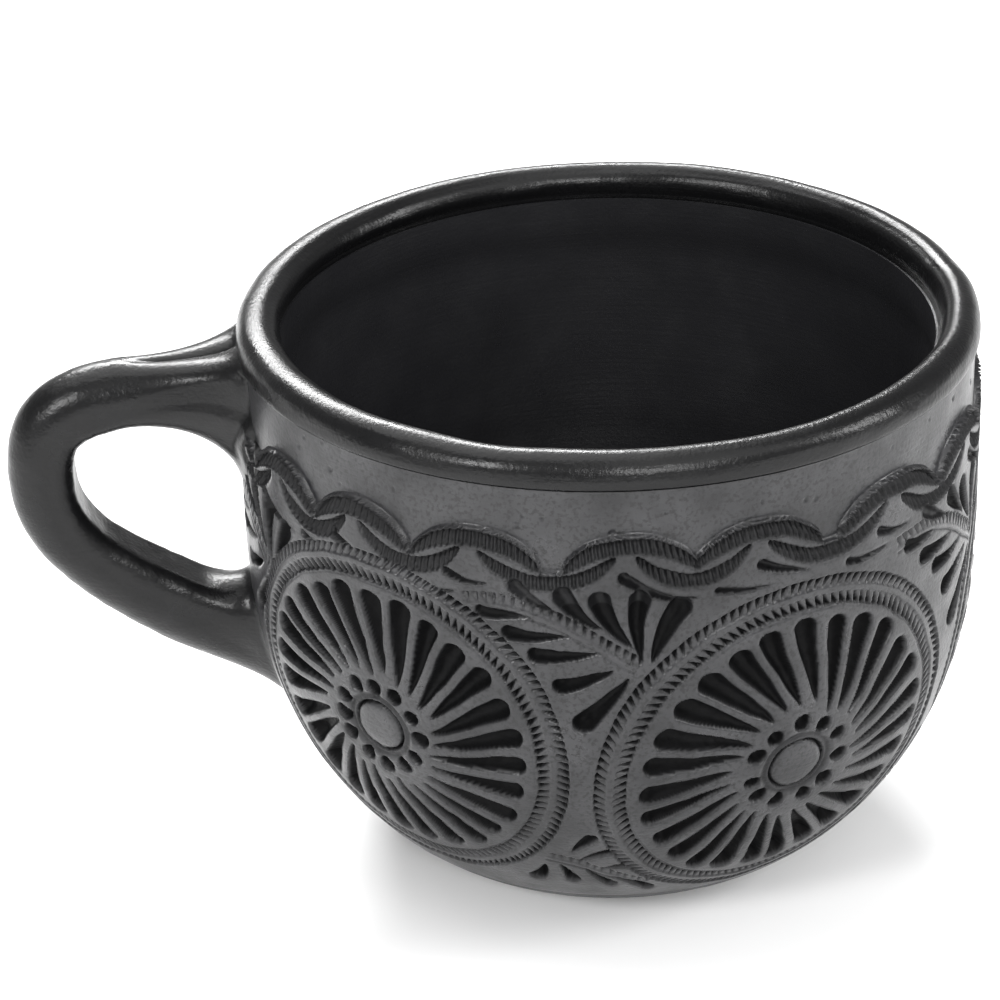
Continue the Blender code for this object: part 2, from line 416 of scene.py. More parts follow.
@dataclass(frozen=True)
class Spray:
    """A leaf spray in the corner between two medallions: a nicked stalk with leaves on both sides."""

    stalk: tuple[Point, ...]     # from its tip to the root, which is the spray's middle
    leaves: tuple[Stroke, ...]
    seed: int                    # picks the nicks' irregularity
    rope: Rope = Rope(half=0.8, pitch=1.2, slant=0.2, sunk=0.10, nick=0.55)

    def cut(self, du: Array, dv: Array) -> Cut:
        """Evaluates the spray at distances right of and above its root."""
        found = (np.full_like(du, OUTSIDE), np.zeros_like(du))
        for leaf in self.leaves:
            found = deepest(found, leaf.cut(du, dv))
        along, across = self._beside(du, dv)
        nicks = self.rope.depth(along / self.rope.pitch, across - self.rope.half, self.seed)
        line = 0.22 * np.clip(1.0 - np.abs(across + 0.75) / 0.2, 0.0, 1.0)
        stalk = np.where(along >= 0.0, np.maximum(nicks, line), 0.0)
        return found[0], np.maximum(found[1], stalk)

    def _beside(self, du: Array, dv: Array) -> tuple[Array, Array]:
        """Distance along the stalk (-1 past its ends) and distance to its upper side."""
        line = rounded(self.stalk, 4)
        best = np.full_like(du, 1e9)
        along, across = np.full_like(du, -1.0), np.full_like(du, 9.0)
        run = 0.0
        for a, b in zip(line, line[1:]):
            step = b - a
            length = float(np.hypot(*step))
            t = ((du - a[0]) * step[0] + (dv - a[1]) * step[1]) / length**2
            held = np.clip(t, 0.0, 1.0)
            far = np.hypot(du - a[0] - held * step[0], dv - a[1] - held * step[1])
            side = ((dv - a[1]) * step[0] - (du - a[0]) * step[1]) / length
            nearer = far < best
            best = np.where(nearer, far, best)
            along = np.where(nearer, np.where((t >= 0.0) & (t <= 1.0), run + t * length, -1.0), along)
            across = np.where(nearer, side, across)
            run += length
        return along, across


@dataclass(frozen=True)
class Arc:
    """One ribbed arc of the wave border, cut deep along its upper edge and rising to its lower one."""

    x: float                     # its middle
    ends: float                  # the carving's y of its two ends
    rise: float                  # how far its middle stands above its ends, or hangs if negative
    span: float                  # half its length round the wall
    half: float                  # half its width

    def shape(self, dx: Array, y: Array) -> tuple[Array, Array, Array]:
        """Where points lie on the arc.

        Args:
            dx: distance right of the arc's middle.
            y: the carving's y.

        Returns:
            Distance along the arc, distance above its middle line, and its half width there.
        """
        share = dx / self.span
        line = self.ends + self.rise * (1.0 - np.abs(share) ** 2.2)
        tilt = -self.rise * 2.2 * np.sign(share) * np.abs(share) ** 1.2 / self.span
        slope = np.hypot(1.0, tilt)
        half = self.half * np.sqrt(np.clip(1.0 - np.abs(share) ** 3.5, 0.0, 1.0))
        return dx * np.sqrt(0.5 * (1.0 + slope**2)), (y - line) / slope, half


@dataclass(frozen=True)
class WaveBorder:
    """The border under the neck: crests and troughs of ribbed arcs that interlock like a rope."""

    RIB = 1.02                   # distance from rib to rib
    NONE = -99.0                 # height of the arcs' upper edge, where there is no arc

    crests: tuple[float, ...]    # the carving's x of the crests' middles
    around: float                # the belly's girth
    neck: float                  # how far the neck is sunk
    crest_ends: float = -5.9
    crest_rise: float = 3.6
    trough_ends: float = -3.9
    trough_rise: float = -3.7
    half: float = 1.15

    def arcs(self) -> list[Arc]:
        """Lays out the arcs, each crest followed by the trough on its right."""
        made = []
        for i, x in enumerate(self.crests):
            onward = (self.crests[(i + 1) % len(self.crests)] - x) % self.around
            back = (x - self.crests[i - 1]) % self.around
            made.append(Arc(x, self.crest_ends, self.crest_rise, 0.235 * (onward + back), self.half))
            made.append(Arc(x + 0.47 * onward, self.trough_ends, self.trough_rise, 0.44 * onward,
                            0.95 * self.half))
        return made

    def cut(self, x: Array, y: Array) -> Cut:
        """Evaluates the border and the sunk neck above it, at the carving's x and y."""
        inside, depth = np.full_like(x, OUTSIDE), np.zeros_like(x)
        edge = np.full_like(x, self.NONE)
        for arc in self.arcs():
            dx = rightwards(x, arc.x, self.around)
            near = np.abs(dx) < arc.span
            along, across, half = arc.shape(dx[near], y[near])
            rib = along / self.RIB + 0.12 * across
            ridge = np.abs(rib - np.round(rib)) * 2.0
            room = half + 0.10 * (ridge - 0.5) - np.abs(across)
            share = np.clip((across + half) / np.maximum(2.0 * half, 0.1), 0.0, 1.0)
            deep = (0.22 + 1.35 * share ** 1.7) * smooth(room / 0.16)
            upper = smooth((1.0 - share) / 0.2) * smooth(room / 0.3)
            deep = deep + 0.55 * (smooth(ridge / 0.8) - 0.3) * upper
            lift(inside, near, room)
            lift(depth, near, np.where(room > 0.0, np.maximum(deep, 0.0), 0.0))
            lift(edge, near, np.where(half > 0.25, y[near] - across + half, self.NONE))
        edge = np.where(edge < 0.5 * self.NONE, -5.5, edge)
        return inside, np.maximum(depth, self.neck * smooth((y - edge) / 0.30))


class Carving:
    """Everything cut into the wall, laid out on the cup's form."""

    MEDALLIONS = ((-38.5, 36.0, 26.2, 27.6, 27.4, 12),       # degrees right of FRONT, height, reach
                  (29.2, 31.5, 28.0, 27.6, 27.6, 11),        # up, down and aside, holes; the widest
                  (98.0, 33.0, 27.4, 27.6, 27.6, 12),        # gap is left for the handle
                  (166.8, 34.5, 27.0, 27.6, 27.6, 11),
                  (235.4, 33.0, 27.6, 27.6, 27.4, 12))
    CRESTS = (-51.9, -35.4, -17.9, 2.6, 19.6, 41.1, 61.0)    # the front crests, given one by one
    MORE_CRESTS = 11                                         # spaces round the back to the first
    # Each leaf: head, tail, half width, depth.
    FAN = (((-16.2, 10.4), (-10.6, 7.2), 0.95, 1.4), ((-9.8, 9.5), (-4.8, 5.1), 1.15, 1.8),
           ((-4.9, 9.1), (-1.3, 2.4), 1.3, 2.1), ((0.1, 9.1), (0.2, 0.3), 1.35, 2.2),
           ((4.8, 7.6), (1.3, 0.2), 1.3, 2.1))
    UNDER = (((-20.6, 6.6), (-14.2, 6.6), 0.85, 1.2), ((-16.8, 3.9), (-9.3, 4.0), 0.95, 1.6),
             ((-13.4, 0.9), (-5.4, 1.7), 1.05, 1.8), ((-10.2, -3.4), (-3.5, -0.6), 1.1, 2.0),
             ((-7.4, -8.7), (-1.5, -1.9), 1.25, 2.2))
    FOOT = (((3.9, 5.7), (1.0, 2.0), 0.95, 1.5), ((6.4, 2.3), (1.9, 0.0), 0.9, 1.5),
            ((8.4, -0.9), (4.6, -2.4), 0.95, 1.4), ((-4.4, -5.9), (-2.9, -1.7), 1.15, 1.8),
            ((0.3, -6.3), (-0.9, -1.3), 1.15, 1.8), ((5.5, -7.6), (2.3, -2.3), 1.0, 1.7),
            ((10.8, -9.2), (6.2, -4.9), 1.0, 1.6))
    UPPER_STALK = ((-23.0, 7.6), (-18.0, 7.9), (-13.4, 7.0), (-8.6, 4.7), (-4.6, 2.1), (-0.6, -0.6))
    LOWER_STALK = ((-2.3, 0.7), (0.6, -0.4), (3.4, -2.2), (6.5, -4.4), (10.6, -7.0))
    # Tapered cuts under the border, by their distance right of a medallion's middle.
    BORDER_LEAVES = ((-22.8, Stroke((-1.2, -6.8), (8.3, -10.2), 0.95, 1.7, 0.9)),
                     (-9.0, Stroke((-3.0, -9.6), (4.6, -9.9), 0.6, 1.3, 0.4)),
                     (-3.0, Stroke((-3.0, -7.0), (3.4, -9.1), 0.85, 1.6, 0.3)),
                     (9.5, Stroke((-2.6, -10.0), (4.2, -10.0), 0.6, 1.3, 0.5)),
                     (14.5, Stroke((-2.2, -7.6), (3.4, -8.3), 0.7, 1.4, 0.5)))
    HANDLE_LEAF = Stroke((-3.4, 2.2), (2.2, -0.6), 1.0, 1.7, 0.4)
    HANDLE_LEVELS = (-21.0, -25.0, -29.0, -33.0, -37.0)      # the column of cuts behind the handle
    HANDLE_DEGREES = -83.5
    SPRAY_REACH, LEAF_REACH = 28.0, 14.0                     # how far from its middle a motif spreads
    BORDER_FOOT = -12.0                                      # nothing of the border lies below
    WANDER = 0.11                                            # how far the hand strays from the layout

    def __init__(self, form: CupForm) -> None:
        """Lays the motifs out round the cup."""
        self.form = form
        self.around = FULL_TURN * form.belly
        self.medallions = [Medallion(self.at(degrees), form.y_at(height), *sizes, 10 * number + 5)
                           for number, (degrees, height, *sizes) in enumerate(self.MEDALLIONS)]
        self.motifs = [self._upper_spray(m, 300 + i) for i, m in enumerate(self.medallions)]
        self.motifs += [self._lower_spray(m, 305 + i) for i, m in enumerate(self.medallions)]
        self.motifs += [((m.x + place, 0.0), self.LEAF_REACH, leaf)
                        for m in self.medallions for place, leaf in self.BORDER_LEAVES]
        self.motifs += [((self.at(self.HANDLE_DEGREES), level), self.LEAF_REACH, self.HANDLE_LEAF)
                        for level in self.HANDLE_LEVELS]
        self.border = WaveBorder(self._crests(), self.around, form.neck_depth)
        draw = np.random.default_rng(90).uniform(0.0, 1.0, (70, 3))
        self.pits = [(a * self.around, -1.5 + 6.5 * b, 0.28 + 0.42 * c * c) for a, b, c in draw]

    def at(self, degrees: float) -> float:
        """The carving's x of an angle to the right of the FRONT line."""
        return math.radians(degrees) * self.form.belly

    def _crests(self) -> tuple[float, ...]:
        """Crest places round the whole border."""
        steps, more = self.CRESTS, self.MORE_CRESTS
        left = self.around - (steps[-1] - steps[0])
        draw = np.random.default_rng(7).uniform(-0.9, 0.9, more)
        return steps + tuple(steps[-1] + left * (i + 1) / more + draw[i] for i in range(more - 1))

    def _upper_spray(self, medallion: Medallion, seed: int) -> tuple[Point, float, Spray]:
        """The spray above and left of a medallion, rooted where its rope meets its neighbour's."""
        rng = np.random.default_rng(medallion.seed + 40)
        leaves = []
        for bend, group in ((0.5, self.FAN), (0.35, self.UNDER)):
            for head, tail, half, depth in group:
                head = tuple(np.add(head, rng.uniform(-0.35, 0.35, 2)))
                leaves.append(Stroke(head, tail, 1.22 * half * rng.uniform(0.92, 1.1), depth,
                                     bend * rng.uniform(0.4, 1.2)))
        spray = Spray(self.UPPER_STALK, tuple(leaves), seed)
        return (medallion.x - 21.9, -19.0), self.SPRAY_REACH, spray

    def _lower_spray(self, medallion: Medallion, seed: int) -> tuple[Point, float, Spray]:
        """The spray below and left of a medallion, down to the plain foot."""
        rng = np.random.default_rng(medallion.seed + 60)
        leaves = []
        for head, tail, half, depth in self.FOOT:
            head = tuple(np.add(head, rng.uniform(-0.3, 0.3, 2)))
            leaves.append(Stroke(head, tail, half * rng.uniform(0.92, 1.1), depth,
                                 rng.uniform(-0.3, 0.3)))
        rope = Rope(half=0.6, pitch=1.2, slant=0.2, sunk=0.08, nick=0.4)
        spray = Spray(self.LOWER_STALK, tuple(leaves), seed, rope)
        return (medallion.x - 33.5, -54.0), self.SPRAY_REACH, spray

    def _near(self, x: Array, y: Array, middle: Point, reach: float,
              free: Array | bool) -> tuple[Array, Array, Array]:
        """Picks the points near a motif.

        Args:
            x: the carving's x.
            y: the carving's y.
            middle: the motif's own place.
            reach: how far it spreads.
            free: the points that it may use.

        Returns:
            The points' indices, and their distances right of and above the motif along the wall.
        """
        dx = rightwards(x, middle[0], self.around)
        near = np.flatnonzero((np.abs(dx) < 1.35 * reach) & (np.abs(y - middle[1]) < reach) & free)
        radius = self.form.body(y[near])[0]
        own = float(self.form.body(np.array([middle[1]]))[0][0])
        return near, dx[near] * 0.5 * (radius + own) / self.form.belly, y[near] - middle[1]

    def cut(self, x: Array, y: Array) -> Cut:
        """Evaluates the whole carving.

        Args:
            x: the carving's x.
            y: the carving's y.

        Returns:
            The distance inside the cuts' outlines, and the depth below the belly's face.
        """
        x = x + self.WANDER * unevenness(x, y, 2.6, 3, self.around)
        y = y + self.WANDER * unevenness(x, y, 2.6, 4, self.around)
        found = np.full_like(x, OUTSIDE), np.zeros_like(x)
        free = np.ones(len(x), bool)
        for m in self.medallions:
            near, du, dv = self._near(x, y, (m.x, m.y), m.REACH + 1.0, True)
            within = m.polar(du, dv)[0] < m.outer_rope_ring + m.outer_rope.half
            self._sink(found, near[within], m.cut(du[within], dv[within]))
            free[near[within]] = False
        for middle, reach, motif in self.motifs:
            near, du, dv = self._near(x, y, middle, reach, free)
            self._sink(found, near, motif.cut(du, dv))
        for place, level, size in self.pits:
            dx = rightwards(x, place, self.around)
            near = np.flatnonzero((np.abs(dx) < size) & (np.abs(y - level) < size))
            far = np.hypot(dx[near], y[near] - level) / size
            found[1][near] += (self.border.neck * (level > -1.0)
                               + 0.35 * size * np.clip(1.3 - 1.3 * far, 0.0, 1.0))
        high = np.flatnonzero(y > self.BORDER_FOOT)
        self._sink(found, high, self.border.cut(x[high], y[high]))
        return found

    @staticmethod
    def _sink(found: Cut, near: Array, more: Cut) -> None:
        """Adds a cut that is known at some of the points."""
        for whole, part in zip(found, more):
            lift(whole, near, part)


# ---------------------------------------------------------------- meshes
def read(items: bpy.types.bpy_prop_collection, name: str, kind: type, width: int = 1) -> Array:
    """Reads one property of every item.

    Args:
        items: the mesh's vertices, edges, loops, faces or values.
        name: the property.
        kind: type of its numbers.
        width: how many numbers each item has.

    Returns:
        One number, or one row of them, for each item.
    """
    flat = np.empty(len(items) * width, kind)
    items.foreach_get(name, flat)
    return flat.reshape(-1, width) if width > 1 else flat


def places_of(mesh: Mesh) -> Array:
    """The mesh's vertex places, in millimetres, as rows."""
    return read(mesh.vertices, "co", np.float32, 3).astype(float) / MM


def store_places(mesh: Mesh, places: Array) -> None:
    """Writes vertex places, in millimetres, back to the mesh."""
    mesh.vertices.foreach_set("co", (places * MM).astype(np.float32).ravel())
    mesh.update()


def store_values(mesh: Mesh, name: str, values: Array) -> None:
    """Stores one number for each vertex, for the material to read."""
    attribute = mesh.attributes.new(name, "FLOAT", "POINT")
    attribute.data.foreach_set("value", values.astype(np.float32))


def stand(name: str, data: bpy.types.ID) -> bpy.types.Object:
    """Puts a new object in the scene."""
    made = bpy.data.objects.new(name, data)
    bpy.context.scene.collection.objects.link(made)
    return made


def new_piece(name: str, mesh: Mesh, material: Material, nodes: Sequence[str]) -> Piece:
    """Puts a finished mesh in the scene as a piece of the cup.

    Args:
        name: the piece's name.
        mesh: its mesh, with its place in its vertices.
        material: its finish.
        nodes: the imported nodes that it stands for.

    Returns:
        The new object.
    """
    mesh.name = name
    made = stand(name, mesh)
    mesh.materials.append(material)
    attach(made, BODY)
    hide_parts(*nodes)
    log.info("%s: %d faces", name, len(mesh.polygons))
    return made


def finished(shape: bmesh.types.BMesh) -> Mesh:
    """Turns a shape into a smooth mesh with its faces outwards."""
    bmesh.ops.recalc_face_normals(shape, faces=shape.faces)
    for face in shape.faces:
        face.smooth = True
    mesh = bpy.data.meshes.new("clay")
    shape.to_mesh(mesh)
    shape.free()
    return mesh


def spun(outline: Sequence[tuple[float, float, float, float]], closed: bool, turn: float, steps: int,
         shares: int) -> bmesh.types.BMesh:
    """Spins an outline about the cup's axis, from azimuth 0.

    Args:
        outline: (radius, height, place along the outline, skin) of each point; skin is 1 on the
            outer face and 0 elsewhere.
        closed: whether the outline closes on itself.
        turn: angle to spin through; a full turn closes on itself.
        steps: number of divisions.
        shares: how many equal copies the turn is put together from.

    Returns:
        The spun shape, with the float vertex layers "along" and "skin".
    """
    shape = bmesh.new()
    along, skin = (shape.verts.layers.float.new(name) for name in ("along", "skin"))
    line = []
    for radius, height, place, outer in outline:
        vertex = shape.verts.new((radius * MM, 0.0, height * MM))
        vertex[along], vertex[skin] = place, outer
        line.append(vertex)
    ends = line[1:] + line[:1] if closed else line[1:]
    edges = [shape.edges.new(pair) for pair in zip(line, ends)]
    bmesh.ops.spin(shape, geom=line + edges, cent=(0, 0, 0), axis=(0, 0, 1), dvec=(0, 0, 0),
                   angle=turn / shares, steps=steps // shares, use_merge=False,
                   use_normal_flip=False, use_duplicate=False)
    whole = list(shape.verts) + list(shape.edges) + list(shape.faces)
    for number in range(1, shares):
        made = bmesh.ops.duplicate(shape, geom=whole)["geom"]
        bmesh.ops.rotate(shape, verts=[g for g in made if isinstance(g, bmesh.types.BMVert)],
                         cent=(0, 0, 0), matrix=Matrix.Rotation(number * turn / shares, 3, "Z"))
    bmesh.ops.remove_doubles(shape, verts=shape.verts, dist=2e-6)
    return shape


def swept(rings: Sequence[Array]) -> Mesh:
    """Joins rings of equal numbers of points into a closed skin, by repeated extrusion.

    Args:
        rings: each an array of points, in the same turning order.

    Returns:
        The skin as a smooth mesh, with its two end rings sharp.
    """
    shape = bmesh.new()
    order = shape.verts.layers.int.new("order")
    ring = []
    for number, point in enumerate(rings[0]):
        vertex = shape.verts.new(point * MM)
        vertex[order] = number
        ring.append(vertex)
    first = edges = [shape.edges.new(pair) for pair in zip(ring, ring[1:] + ring[:1])]
    shape.faces.new(ring)
    for points in rings[1:]:
        made = bmesh.ops.extrude_edge_only(shape, edges=edges)["geom"]
        edges = [g for g in made if isinstance(g, bmesh.types.BMEdge)]
        for vertex in (g for g in made if isinstance(g, bmesh.types.BMVert)):
            vertex.co = points[vertex[order]] * MM
    bmesh.ops.edgeloop_fill(shape, edges=edges)
    for edge in first + edges:
        edge.smooth = False
    return finished(shape)


@dataclass
class Wall:
    """The carved wall, as upright panels that are each a closed solid."""

    form: CupForm
    carving: Carving
    count: int = 8
    columns: int = 220           # divisions of a panel round the cup
    cell: float = 0.18           # distance between rows up the outside
    inner_rows: int = 44
    fillet: float = 5.0          # rounding between the wall's inside and the floor
    sliver: float = 1e-4         # step for reading an outline's direction
    close: float = 0.01          # heights this near count as the same

    def __post_init__(self) -> None:
        """Spins the blank that every panel is carved from."""
        self.turn = FULL_TURN / self.count
        shape = spun(self._outline(), True, self.turn, self.columns, 11)
        bmesh.ops.edgeloop_fill(shape, edges=[e for e in shape.edges if e.is_boundary])
        self.blank = finished(shape)
        self.places = places_of(self.blank)
        self.share = polar(self.places)[0] / self.turn
        self.skin, self.along = (read(self.blank.attributes[name].data, "value", np.float32)
                                 .astype(float) for name in ("skin", "along"))
        self._unwrap()
        self._sharpen()

    def _outline(self) -> list[tuple[float, float, float, float]]:
        """The panel's section: up the outside, over the top, down the inside and back."""
        rows = np.linspace(self.form.low, self.form.high,
                           round((self.form.high - self.form.low) / self.cell))
        radius, height, _, _ = self.form.body(rows)
        heights = np.linspace(self.form.seat, self.form.split, self.inner_rows)
        sunk = np.clip((self.form.split + self.fillet - heights) / self.fillet, 0.0, 1.0)
        inner = self.form.inner(heights)
        inner = inner - self.fillet * 0.6 * (1.0 - np.sqrt(1.0 - sunk**2 * 0.98))
        return ([(r, z, y, 1.0) for r, z, y in zip(radius, height, rows)]
                + [(r, z, z, 0.0) for r, z in zip(inner, heights)])

    def panel(self, number: int, material: Material) -> Piece:
        """Carves one panel.

        Args:
            number: its place round the cup, from 0.
            material: its finish.

        Returns:
            The new piece.
        """
        mesh = self.blank.copy()
        self._carve(mesh, FRONT + (number - 0.5) * self.turn)
        return new_piece(f"carved_wall_{number + 1}", mesh, material, ["cup_wall"])

    def _unwrap(self) -> None:
        """Gives the blank its own map: outer face below, inner face above, edges in the corner."""
        corner = read(self.blank.loops, "vertex_index", np.int32)
        sizes = read(self.blank.polygons, "loop_total", np.int32)
        face = np.repeat(np.arange(len(sizes)), sizes)
        count = sizes[face]
        share, skin = self.share[corner], self.skin[corner]
        outer = np.bincount(face, skin)[face]
        z = (self.places[corner, 2] - self.form.split) / (self.form.seat - self.form.split)
        up = (self.along[corner] - self.form.low) / (self.form.high - self.form.low)
        u, v = share, np.where(outer > count - 0.5, 0.70 * up, 0.71 + 0.21 * z)
        mixed = (outer > 0.5) & (outer < count - 0.5)
        u = np.where(mixed, 0.2 + 0.7 * share, u)
        v = np.where(mixed, np.where(z > 0.5, 0.95, 0.97) + 0.012 * skin, v)
        cap = count > 4
        reach = polar(self.places[corner])[1]
        u = np.where(cap, 0.02 + reach / 1200.0 + 0.06 * (share > 0.5), u)
        v = np.where(cap, 0.93 + self.places[corner, 2] / 1300.0, v)
        chart = self.blank.uv_layers.new(name=BAKE_MAP)
        chart.data.foreach_set("uv", np.column_stack([u, v]).astype(np.float32).ravel())

    def _sharpen(self) -> None:
        """Marks the blank's cut sides and its upper and lower edges as sharp."""
        ends = read(self.blank.edges, "vertices", np.int32, 2)
        height = self.places[:, 2]
        sharp = np.zeros(len(ends), bool)
        for group in (self.share < 1e-4, self.share > 1.0 - 1e-4,
                      height > self.form.seat - self.close, height < self.form.split + self.close):
            sharp |= group[ends[:, 0]] & group[ends[:, 1]]
        marks = self.blank.attributes.new("sharp_edge", "BOOLEAN", "EDGE")
        marks.data.foreach_set("value", sharp)

    def _carve(self, mesh: Mesh, start: float) -> None:
        """Moves the outer face's vertices onto the cuts' outlines and down to the cuts' floors.

        Args:
            mesh: the panel's mesh.
            start: azimuth of the panel's first side.
        """
        form, places = self.form, self.places.copy()
        uneven = partial(unevenness, around=self.carving.around)
        outer, other = np.flatnonzero(self.skin > 0.5), np.flatnonzero(self.skin < 0.5)
        column = np.round(self.share[outer] * self.columns)
        x = (start - FRONT + column / self.columns * self.turn) * form.belly
        x, y = self._snap(x, self.along[outer], (column == 0) | (column == self.columns))
        inside, depth = self.carving.cut(x, y)
        land = smooth(1.0 - inside / 0.3)
        tooled = 0.09 * uneven(x, y, 0.7, 12) + 0.06 * uneven(x, y, 1.9, 13)
        depth = depth + 0.05 * land * uneven(x, y, 3.2, 11)
        depth = depth + 0.09 * smooth(1.0 + inside / 0.5) * (inside <= 0.0)
        depth = (depth + (1.0 - land) * tooled) * smooth((y - form.low) / 0.8)
        depth = np.where(y > form.high - self.close, form.neck_depth, depth)
        radius, height, out, up = form.body(y)
        angle = x / form.belly + FRONT
        sunk = radius - depth * out - form.hand(angle, height)
        places[outer] = upright(angle, sunk, height - depth * up)
        angle, z = start + self.share[other] * self.turn, places[other, 2]
        far = polar(places[other])[1] - form.hand(angle, z)
        far += 0.25 * uneven(angle * form.belly, z, 11.0, 21) * (z < form.seat - 4.0)
        places[other] = upright(angle, far, z)
        store_places(mesh, places)
        values = np.zeros(len(places))
        # The cut value grows with the depth of a cut and stays lower on the wave border; the material
        # dulls the clay there and darkens it as painted shade.
        own = np.where(y > -11.0, 0.30 * smooth(inside / 0.15 + 0.5), depth - 0.15)
        values[outer] = np.clip(own / 0.45, 0.0, 1.0)
        store_values(mesh, CUT_AND_SHADE_NAME, values)
        # The inside of the wall is marked for a darker colour: painted shade.
        store_values(mesh, INSIDE_SHADE_NAME, 1.0 - self.skin)

    def _snap(self, x: Array, y: Array, held: Array) -> tuple[Array, Array]:
        """Slides the points nearest a cut's outline onto it, so that the outline runs clean.

        Args:
            x: the carving's x of the outer vertices.
            y: their y.
            held: those whose x may not change, on the panel's two sides.

        Returns:
            The new x and y.
        """
        inside = self.carving.cut(x, y)[0]
        near = np.flatnonzero(np.abs(inside) < 0.75 * self.cell)
        px, py, distance = x[near], y[near], inside[near]
        gx = (self.carving.cut(px + self.sliver, py)[0] - distance) / self.sliver
        gy = (self.carving.cut(px, py + self.sliver)[0] - distance) / self.sliver
        steep = np.maximum(np.hypot(gx, gy), 0.3)
        gx, gy, distance = gx / steep, gy / steep, distance / steep
        across = self.turn * self.form.belly / self.columns
        reach = 0.5 * np.maximum(np.abs(gx) * across, np.abs(gy) * self.cell)
        move = np.where(np.abs(distance) < reach, -distance, 0.0)
        low, high = y.min(), y.max()
        x, y = x.copy(), y.copy()
        x[near] += move * np.where(held[near], 0.0, gx)
        y[near] = np.where((py <= low) | (py >= high), py, py + move * gy)
        return x, y


@dataclass
class Turned:
    """The parts of the cup that go all the way round: its rim and its base."""

    form: CupForm
    steps: int = 720
    shares: int = 16
    rim_middle: float = 47.2     # radius of the coil's middle
    rim_tall: float = 3.0        # half the coil's height
    rim_points: int = 52
    foot_points: int = 60
    floor_edge: float = 24.2     # radius of the floor that shows inside

    def rim(self, material: Material) -> Piece:
        """Rolls the rim: an oval coil, wider towards the handle, pinched where it meets the wall."""
        _, high = (Vector(c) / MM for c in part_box("rim_coil"))
        form, crest, seat, middle, tall = self.form, high.z, self.form.seat, self.rim_middle, self.rim_tall
        half, axis = high.x - middle, crest - tall
        bottom = math.asin((seat + 0.45 - axis) / tall)
        outline = [(form.belly - form.neck_depth - 0.25, seat, 0.0, 1.0)]
        outline += [(middle + half * math.cos(a), axis + tall * math.sin(a), 0.0, 1.0)
                    for a in np.linspace(bottom, math.pi - bottom, self.rim_points)]
        outline += [(float(form.inner(np.array([seat]))[0]) + 0.3, seat, 0.0, 1.0)]
        outline += [(middle, seat, 0.0, 0.0)]
        mesh = finished(spun(outline, True, FULL_TURN, self.steps, self.shares))
        places = places_of(mesh)
        angle, radius = polar(places)
        z = places[:, 2]
        along = angle * 50.0
        uneven = partial(unevenness, along, around=100.0 * math.pi)
        risen = np.clip((z - seat) / (crest - seat), 0.0, 1.0)
        upper = smooth(risen * 2.0)
        wide = 0.45 - 0.45 * np.cos(angle)
        inner = np.clip((middle - radius) / half, 0.0, 1.0)
        radius += upper * inner * (0.55 - 1.05 * wide)
        radius -= 0.20 * upper * (1.0 + uneven(z * 1.7, 9.0, 31))
        radius -= 0.05 * upper * uneven(z * 1.7, 2.6, 35)
        radius -= form.hand(angle, z)
        z = z - risen * (0.16 + 0.16 * uneven(radius, 14.0, 33))
        radius += 0.12 * smooth(1.0 - np.abs(z - crest + 0.75) / 0.5) * (inner > 0.0)
        store_places(mesh, upright(angle, radius, z))
        return new_piece("rolled_rim", mesh, material, ["rim_coil"])

    def base(self, material: Material) -> Piece:
        """Makes the foot and the floor: a flat disc, a little hollow below, rounded into the wall."""
        form, top = self.form, self.form.split
        radius, height, _, _ = form.body(np.linspace(form.y_at(0.0), form.low, self.foot_points))
        foot = float(radius[0])
        below = ((0.0, 0.45), (foot * 0.3, 0.42), (foot * 0.6, 0.30), (foot * 0.8, 0.12),
                 (foot * 0.9, 0.02), (foot - 1.0, 0.0), (foot - 0.45, 0.03))
        outline = [(r, z, 0.0, 0.0) for r, z in below]
        outline += [(r, max(z, 0.12), 0.0, 1.0) for r, z in zip(radius[1:], height[1:])]
        outline += [(r, top, 0.0, 0.0) for r in (30.0, 25.5, 24.0, 20.0, 14.0, 7.0, 0.0)]
        mesh = finished(spun(outline, False, FULL_TURN, self.steps, self.shares))
        places = places_of(mesh)
        angle, radius = polar(places)
        radius -= form.hand(angle, places[:, 2]) * np.clip(radius / foot, 0.0, 1.0)
        floor = (places[:, 2] > top - 0.01) & (radius < self.floor_edge)
        dip = 0.12 * (1.0 + unevenness(places[:, 0], places[:, 1], 6.0, 41))
        dip = dip * smooth((self.floor_edge - radius) / 3.0)
        store_places(mesh, upright(angle, radius, places[:, 2] - np.where(floor, dip, 0.0)))
        return new_piece("cup_base", mesh, material, ["base_pad"])


@dataclass(frozen=True)
class Join:
    """Sizes of the clay smeared round one end of the handle."""

    name: str
    node: str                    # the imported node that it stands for
    upper: bool
    top: float                   # height where it runs out above
    middle: float                # height of its widest place
    bottom: float                # height where it runs out below
    half_width: float            # reach to each side on the wall
    overlap: int                 # stations of the handle that it covers
    stiff: float                 # how long it keeps the handle's direction
    fillet: float                # how long it lies along the wall
    ceiling: float               # height that it may not pass
    creases: tuple[tuple[float, float, float], ...]   # place from handle 0 to wall 1, depth, spread
    rows: int = 48               # divisions from the handle to the wall


UPPER_JOIN = Join("upper_smear", "upper_join_clay", True, 78.6, 74.0, 53.0, 15.5, 42, 0.22, 0.50,
                  78.9, ((0.76, 0.70, 0.05), (0.93, 0.80, 0.035)))
LOWER_JOIN = Join("lower_smear", "lower_join_clay", False, 42.5, 29.0, 16.6, 9.4, 26, 0.36, 0.36,
                  60.0, ((0.80, 0.35, 0.08),))


